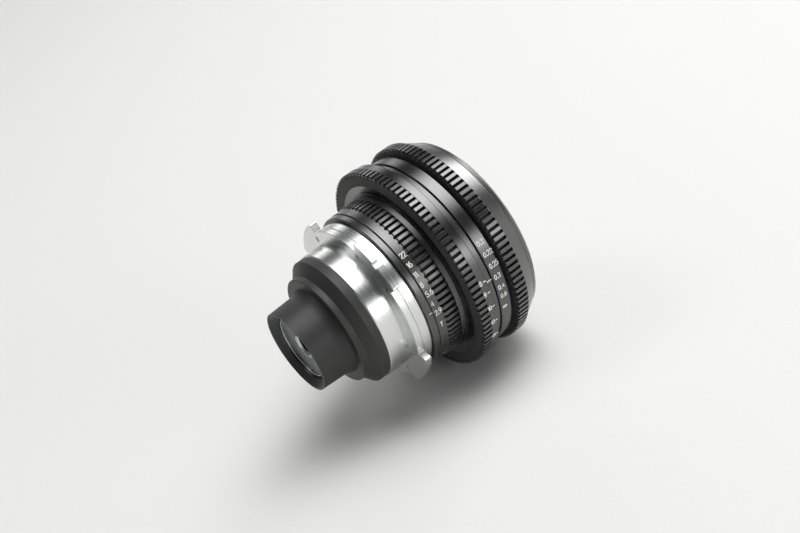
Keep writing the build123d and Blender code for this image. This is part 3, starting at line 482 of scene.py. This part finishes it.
def numeral(name, body, radius, text, height, station, turn):
    """One engraved number that starts at a station and has its middle at a turn."""
    lowered = [[(x, y - height / 2) for x, y in stroke] for stroke in label_strokes(text, height)]
    return engrave(name, body, radius, lowered, station, turn, stroke_width)


def index_line(name, body, radius, station, length, turn, width=stroke_width):
    """One engraved line along the axis."""
    return engrave(name, body, radius, [[(0.0, 0.0), (length / 2, 0.0), (length, 0.0)]], station, turn, width)


# Turns in the scales are counted from the photograph's own zero, the direction that points up and left in it
photo_turn = 90.0 - up_turn


def scale(name, body, radius, station, height, marks):
    """Numbers of one scale, each given with its turn in the photograph."""
    for text, mark in marks.items():
        label = "endless" if text == endless else text
        numeral(f"{name}_{label}", body, radius, text, height, station, mark + photo_turn)


iris_band_radius = 33.2
iris_height = 2.0
iris_stops = {"22": 80.2, "16": 87.4, "11": 94.5, "8": 102.0, "5.6": 108.8, "4": 115.8, "2.9": 122.9}
scale("iris_mark", "iris_ring", iris_band_radius, 10.35, iris_height, iris_stops)
scale("iris_mark", "iris_ring", iris_band_radius, 10.95, iris_height, {"T": 132.8})

base_ring_radius = 33.0
index_line("iris_index", "lens_body", base_ring_radius, 8.2, 1.3, 121.1 + photo_turn, width=tick_width)

zoom_band_radius = 42.8
zoom_height = 1.8
zoom_tick_station, zoom_tick_length = 28.0, 1.0
zoom_ones = {"8": 116.1, "9": 122.6}
zoom_tens = {"10": 131.0, "12": 140.6, "15": 151.5}
scale("zoom_mark", "zoom_ring", zoom_band_radius, 26.3, zoom_height, zoom_ones)
scale("zoom_mark", "zoom_ring", zoom_band_radius, 25.95, zoom_height, zoom_tens)
for text, mark in {**zoom_ones, **zoom_tens}.items():
    tick = f"zoom_tick_{text}"
    index_line(tick, "zoom_ring", zoom_band_radius, zoom_tick_station, zoom_tick_length, mark + photo_turn)

index_band_radius = 40.2
index_line("scale_index", "lens_body", index_band_radius, 29.6, 3.0, 119.6 + photo_turn, width=index_width)

focus_band_radius = 40.8
focus_height = 1.85
focus_near = {"0.2": 99.6, "0.22": 106.2, "0.25": 113.0, "0.3": 119.8}
focus_far = {"0.4": 126.3, "0.6": 131.9, endless: 139.5}
scale("focus_mark", "focus_ring", focus_band_radius, 33.85, focus_height, {**focus_near, **focus_far})


# Screws of the mount: their circle runs midway between the shoulder and the flange's rim
shoulder_radius, flange_radius = 27.0, 31.6
screw_circle = (shoulder_radius + flange_radius) / 2
screw_head_radius = 1.1
screw_head_floor, screw_slot_floor, screw_head_face = 0.72, 0.5, 0.12
screw_slot_half = 0.2
tab_turns = (45.0, 135.0, 225.0, 315.0)
screw_offset = 16.0
screw_turns = [tab + side for tab in tab_turns for side in (-screw_offset, screw_offset)]

# Hand-tightened screws stop anywhere, so each slot stands a set step further round than the last
first_slot_turn, slot_step = 35.0, 61.0


def prism(mesh, turn, outline, rear, front):
    """A short closed prism in the mount's seat: an outline about a screw's middle, between two stations."""
    middle = Vector((math.cos(math.radians(turn)), 0, math.sin(math.radians(turn)))) * screw_circle
    sides = []
    for station in (rear, front):
        sides.append([mesh.verts.new((middle + Vector((x, -station, z))) * MM) for x, z in outline])
    mesh.faces.new(sides[0])
    mesh.faces.new(sides[1][::-1])
    for place in range(len(outline)):
        follows = (place + 1) % len(outline)
        mesh.faces.new((sides[0][place], sides[1][place], sides[1][follows], sides[0][follows]))


def slotted_screws():
    """Heads of the mount's eight screws: a round foot and two halves beside the driver's slot."""
    mesh = bmesh.new()
    head = (screw_head_radius, screw_head_radius)
    reach = math.degrees(math.asin(screw_slot_half / screw_head_radius))
    for index, turn in enumerate(screw_turns):
        prism(mesh, turn, arc((0, 0), head, 0, 345, 23), screw_slot_floor, screw_head_floor)
        for side in (0.0, 180.0):
            first = first_slot_turn + slot_step * index + side + reach
            half = arc((0, 0), head, first, first + 180 - 2 * reach, 14)
            prism(mesh, turn, half, screw_head_face, screw_slot_floor)
    return finished("slotted_mount_screws", mesh, finishes["screw_steel"], "lens_body")


screws = slotted_screws()
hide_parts("mount_screws")


def turned_piece(name, body, slot, outline, material=None):
    """A lathed piece with its slot's finish, or with a material of its own."""
    piece = lathed(name, body, material or finishes[slot], outline)
    return piece


# Ring that closes the gap round the thrust shoulder, so that the zoom ring's rear is one shallow dish
dish_radius, dish_hub_radius = 37.62, 34.35
dish_outline = [(22.0, dish_radius), (22.75, dish_hub_radius), (23.2, dish_hub_radius), (23.2, dish_radius)]
turned_piece("zoom_dish_cover", "zoom_ring", "ring_black", dish_outline)


# Funnel, cell and blackened tube round the small rear glass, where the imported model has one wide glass
funnel_radius, funnel_rear, funnel_front = 14.15, -28.08, -24.52
funnel_mouth, funnel_mouth_radius, funnel_rim_radius = -28.9, 12.62, 12.0
funnel_throat, funnel_throat_radius = -28.1, 5.9
eye_cell_radius, eye_bore_radius = 5.0, 3.9
eye_cell_rear, eye_bore_rear, eye_front = -28.4, -27.5, -25.2
eye_wall = 0.2
turned_piece(
    "rear_funnel",
    "lens_body",
    "sleeve_metal",
    [
        (funnel_rear, funnel_radius),
        (funnel_rear, funnel_mouth_radius + 0.02),
        (funnel_mouth, funnel_mouth_radius),
        (funnel_mouth, funnel_rim_radius),
        (funnel_throat, funnel_throat_radius),
        (eye_cell_rear, eye_cell_radius + 0.5),
        (eye_cell_rear, eye_cell_radius + 0.02),
        (eye_front, eye_cell_radius + 0.02),
        (funnel_front, eye_cell_radius + 0.2),
        (funnel_front, funnel_radius),
    ],
)
turned_piece(
    "rear_eye_cell",
    "lens_body",
    "screw_steel",
    [
        (eye_cell_rear + 0.02, eye_cell_radius),
        (eye_bore_rear, eye_bore_radius),
        (eye_front - 0.05, eye_bore_radius),
        (eye_front - 0.05, eye_cell_radius),
    ],
)
turned_piece(
    "rear_eye_tube",
    "lens_body",
    "inner_black",
    [
        (eye_bore_rear, eye_bore_radius - 0.02),
        (eye_bore_rear, eye_bore_radius - eye_wall),
        (eye_front - 0.07, eye_bore_radius - eye_wall),
        (eye_front - 0.07, eye_bore_radius - 0.02),
    ],
)
lip_front, lip_rear, lip_crest = -28.92, -29.25, -29.35
turned_piece(
    "rear_funnel_lip",
    "lens_body",
    "screw_steel",
    [(lip_front, 12.6), (lip_rear, 12.6), (lip_crest, 12.42), (lip_rear, 12.2), (lip_front, 12.1)],
)


def bulged(rear, front, radius, bulge, steps=10):
    """Outline of a glass with a domed rear, from pole to rim and along its flat front."""
    shares = [step / steps for step in range(steps)]
    dome = [(rear - bulge * (1 - share**2), radius * share) for share in shares]
    return dome + [(rear, radius), (front, radius), (front, 0.0)]


eye_glass_outline = bulged(-26.0, -25.3, eye_bore_radius - eye_wall - 0.02, 0.4)
rear_eye = turned_piece("rear_eye_glass", "lens_body", "rear_glass", eye_glass_outline)
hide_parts("rear_element")


# Flared front edge of the iris ring, over its smooth front band
flare_rear, flare_crest, flare_front = 19.86, 21.7, 21.88
flare_root_radius = 33.0
flare_outline = [
    (flare_rear, flare_root_radius),
    (flare_rear, 33.24),
    (flare_crest, 33.66),
    (flare_front, 33.5),
    (flare_front, flare_root_radius),
]
turned_piece("iris_front_flare", "iris_ring", "ring_black", flare_outline, own_finishes["iris_ring"])


def camera_directions():
    """The lens's own directions as the camera sees them: right, down and away, for its X, Y and Z."""
    yaw, roll = math.radians(camera_yaw), math.radians(camera_roll)
    ahead = Vector((math.cos(yaw) * math.cos(roll), -math.cos(yaw) * math.sin(roll), math.sin(yaw)))
    zero = Vector((-math.sin(roll), -math.cos(roll), 0))
    quarter = ahead.cross(zero)
    tilt = math.radians(up_turn)
    up = math.cos(tilt) * zero + math.sin(tilt) * quarter
    across = math.sin(tilt) * zero - math.cos(tilt) * quarter
    return across, -ahead, up


across, toward_camera, up = camera_directions()


def from_camera(vector):
    """A direction or place given as right, down and away from the camera, in the lens's own frame."""
    return Vector((vector.dot(across), vector.dot(toward_camera), vector.dot(up)))


def photograph_camera():
    """The camera that took the photograph, from the angle, distance and focal length fitted to it."""
    pixels = focal_length / sensor_width * photo_width
    aim = Vector((aim_pixel[0] - photo_width / 2, aim_pixel[1] - photo_height / 2, pixels))
    origin = aim * camera_distance / pixels + toward_camera * aim_station
    camera = bpy.data.cameras.new("photograph_camera")
    camera.sensor_width = sensor_width
    camera.lens = focal_length
    camera.clip_start = 0.01
    camera.clip_end = 50
    holder = bpy.data.objects.new("photograph_camera", camera)
    right, back = from_camera(Vector((1, 0, 0))), from_camera(Vector((0, 0, -1)))
    upright = from_camera(Vector((0, -1, 0)))
    turn = Matrix((right, upright, back)).transposed().to_4x4()
    holder.matrix_world = Matrix.Translation(from_camera(-origin) * MM) @ turn
    bpy.context.scene.collection.objects.link(holder)
    bpy.context.scene.camera = holder


photograph_camera()


def softbox(name, toward, distance, size, power):
    """A lamp behind a diffuser that fades at its edges, in a direction given as the camera sees it."""
    lamp = bpy.data.lights.new(name, "AREA")
    lamp.shape = "RECTANGLE"
    lamp.size, lamp.size_y = size
    lamp.energy = power
    lamp.use_nodes = True
    tree = lamp.node_tree
    tree.nodes.clear()
    place = add(tree, "ShaderNodeNewGeometry", out="Parametric")
    sheet = add(tree, "ShaderNodeSeparateXYZ", Vector=place)
    from_edge = {"operation": "PINGPONG", "Value_001": 0.5}
    fade = {"interpolation_type": "SMOOTHERSTEP", "From Max": 0.5}
    fades = []
    for side in ("X", "Y"):
        edge = add(tree, "ShaderNodeMath", from_edge, "Value", Value=sheet.outputs[side])
        fades.append(add(tree, "ShaderNodeMapRange", fade, "Result", Value=edge))
    product = {"operation": "MULTIPLY"}
    both = add(tree, "ShaderNodeMath", product, "Value", Value=fades[0], Value_001=fades[1])
    glow = add(tree, "ShaderNodeEmission", None, "Emission", Strength=both)
    add(tree, "ShaderNodeOutputLight", Surface=glow)
    holder = bpy.data.objects.new(name, lamp)
    back = from_camera(Vector(toward).normalized())
    along = (Vector((0, 1, 0)) - back * back.y).normalized()
    turn = Matrix((along.cross(back), along, back)).transposed().to_4x4()
    holder.matrix_world = Matrix.Translation(back * distance) @ turn
    bpy.context.scene.collection.objects.link(holder)


# Each softbox's direction as right, down and away, its distance and size in metres, and its power in watts
softbox("overhead_softbox", (0.0, -0.92, -0.39), 2.0, (2.8, 3.4), 175.0)
softbox("side_softbox", (0.72, -0.16, -0.68), 2.0, (1.1, 2.4), 34.0)
softbox("front_softbox", (0.45, -0.76, 0.47), 2.2, (1.3, 1.3), 48.0)
softbox("back_softbox", (-0.40, -0.70, 0.60), 2.2, (1.4, 1.6), 12.0)
softbox("left_fill", (-0.86, -0.45, -0.25), 2.4, (1.5, 1.5), 24.0)

# Colours of the studio by the sine of the height above the horizon: pale walls, and a ceiling that stays dim
horizon = "#e4e4e2"
studio_heights = ((0.0, horizon), (0.06, "#9c9c9a"), (0.4, "#48494b"))


def studio_world():
    """A pale studio whose ceiling is dim, so that metal shows both."""
    world = bpy.data.worlds.new("studio")
    world.use_nodes = True
    tree = world.node_tree
    tree.nodes.clear()
    direction = add(tree, "ShaderNodeTexCoord", out="Generated")
    height = add(tree, "ShaderNodeSeparateXYZ", None, "Z", Vector=direction)
    ramp = add(tree, "ShaderNodeValToRGB", Fac=height)
    stops = ramp.color_ramp.elements
    stops.new(studio_heights[1][0])
    for stop, (place, colour) in zip(stops, studio_heights):
        stop.position, stop.color = place, linear(colour)
    sky = add(tree, "ShaderNodeBackground", {"Strength": 1.0}, "Background", Color=ramp.outputs["Color"])
    add(tree, "ShaderNodeOutputWorld", Surface=sky)
    bpy.context.scene.world = world


# Sizes of the floor in metres: its own, and where its paper passes into an even sweep that meets the horizon
floor_radius = 12
sweep_start, sweep_end = 0.8, 2.0


def pale_floor():
    """The table that the lens lies on, under its two large gears, and round it a sweep with its own light."""
    low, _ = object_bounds()
    mesh = bmesh.new()
    bmesh.ops.create_circle(mesh, cap_ends=True, segments=64, radius=floor_radius)
    data = bpy.data.meshes.new("floor")
    mesh.to_mesh(data)
    mesh.free()
    floor = bpy.data.objects.new("floor", data)
    floor.location.z = low.z - MM / 10
    bpy.context.scene.collection.objects.link(floor)
    # Plain paper that takes soft shadows, and further out an even light that hides where the floor ends
    material, tree = new_material("pale paper")
    place = add(tree, "ShaderNodeTexCoord", out="Object")
    reach = add(tree, "ShaderNodeVectorMath", {"operation": "LENGTH"}, "Value", Vector=place)
    sweep = {"From Min": sweep_start, "From Max": sweep_end}
    far = add(tree, "ShaderNodeMapRange", sweep, "Result", Value=reach)
    fibres = {"data_type": "RGBA", "A_Color": linear("#e8e8e6"), "B_Color": linear("#ededeb")}
    paper = add(tree, "ShaderNodeMix", fibres, "Result_Color", Factor_Float=grain(tree, paper_grain))
    unlit = {"data_type": "RGBA", "B_Color": linear("#000000")}
    shader = add(
        tree,
        "ShaderNodeBsdfPrincipled",
        {"Roughness": 0.85, "Emission Color": linear(horizon)},
        "BSDF",
        Base_Color=add(tree, "ShaderNodeMix", unlit, "Result_Color", Factor_Float=far, A_Color=paper),
        Emission_Strength=far,
    )
    add(tree, "ShaderNodeOutputMaterial", Surface=shader)
    floor.data.materials.append(material)


studio_world()
pale_floor()
bpy.context.scene.view_settings.view_transform = "Standard"
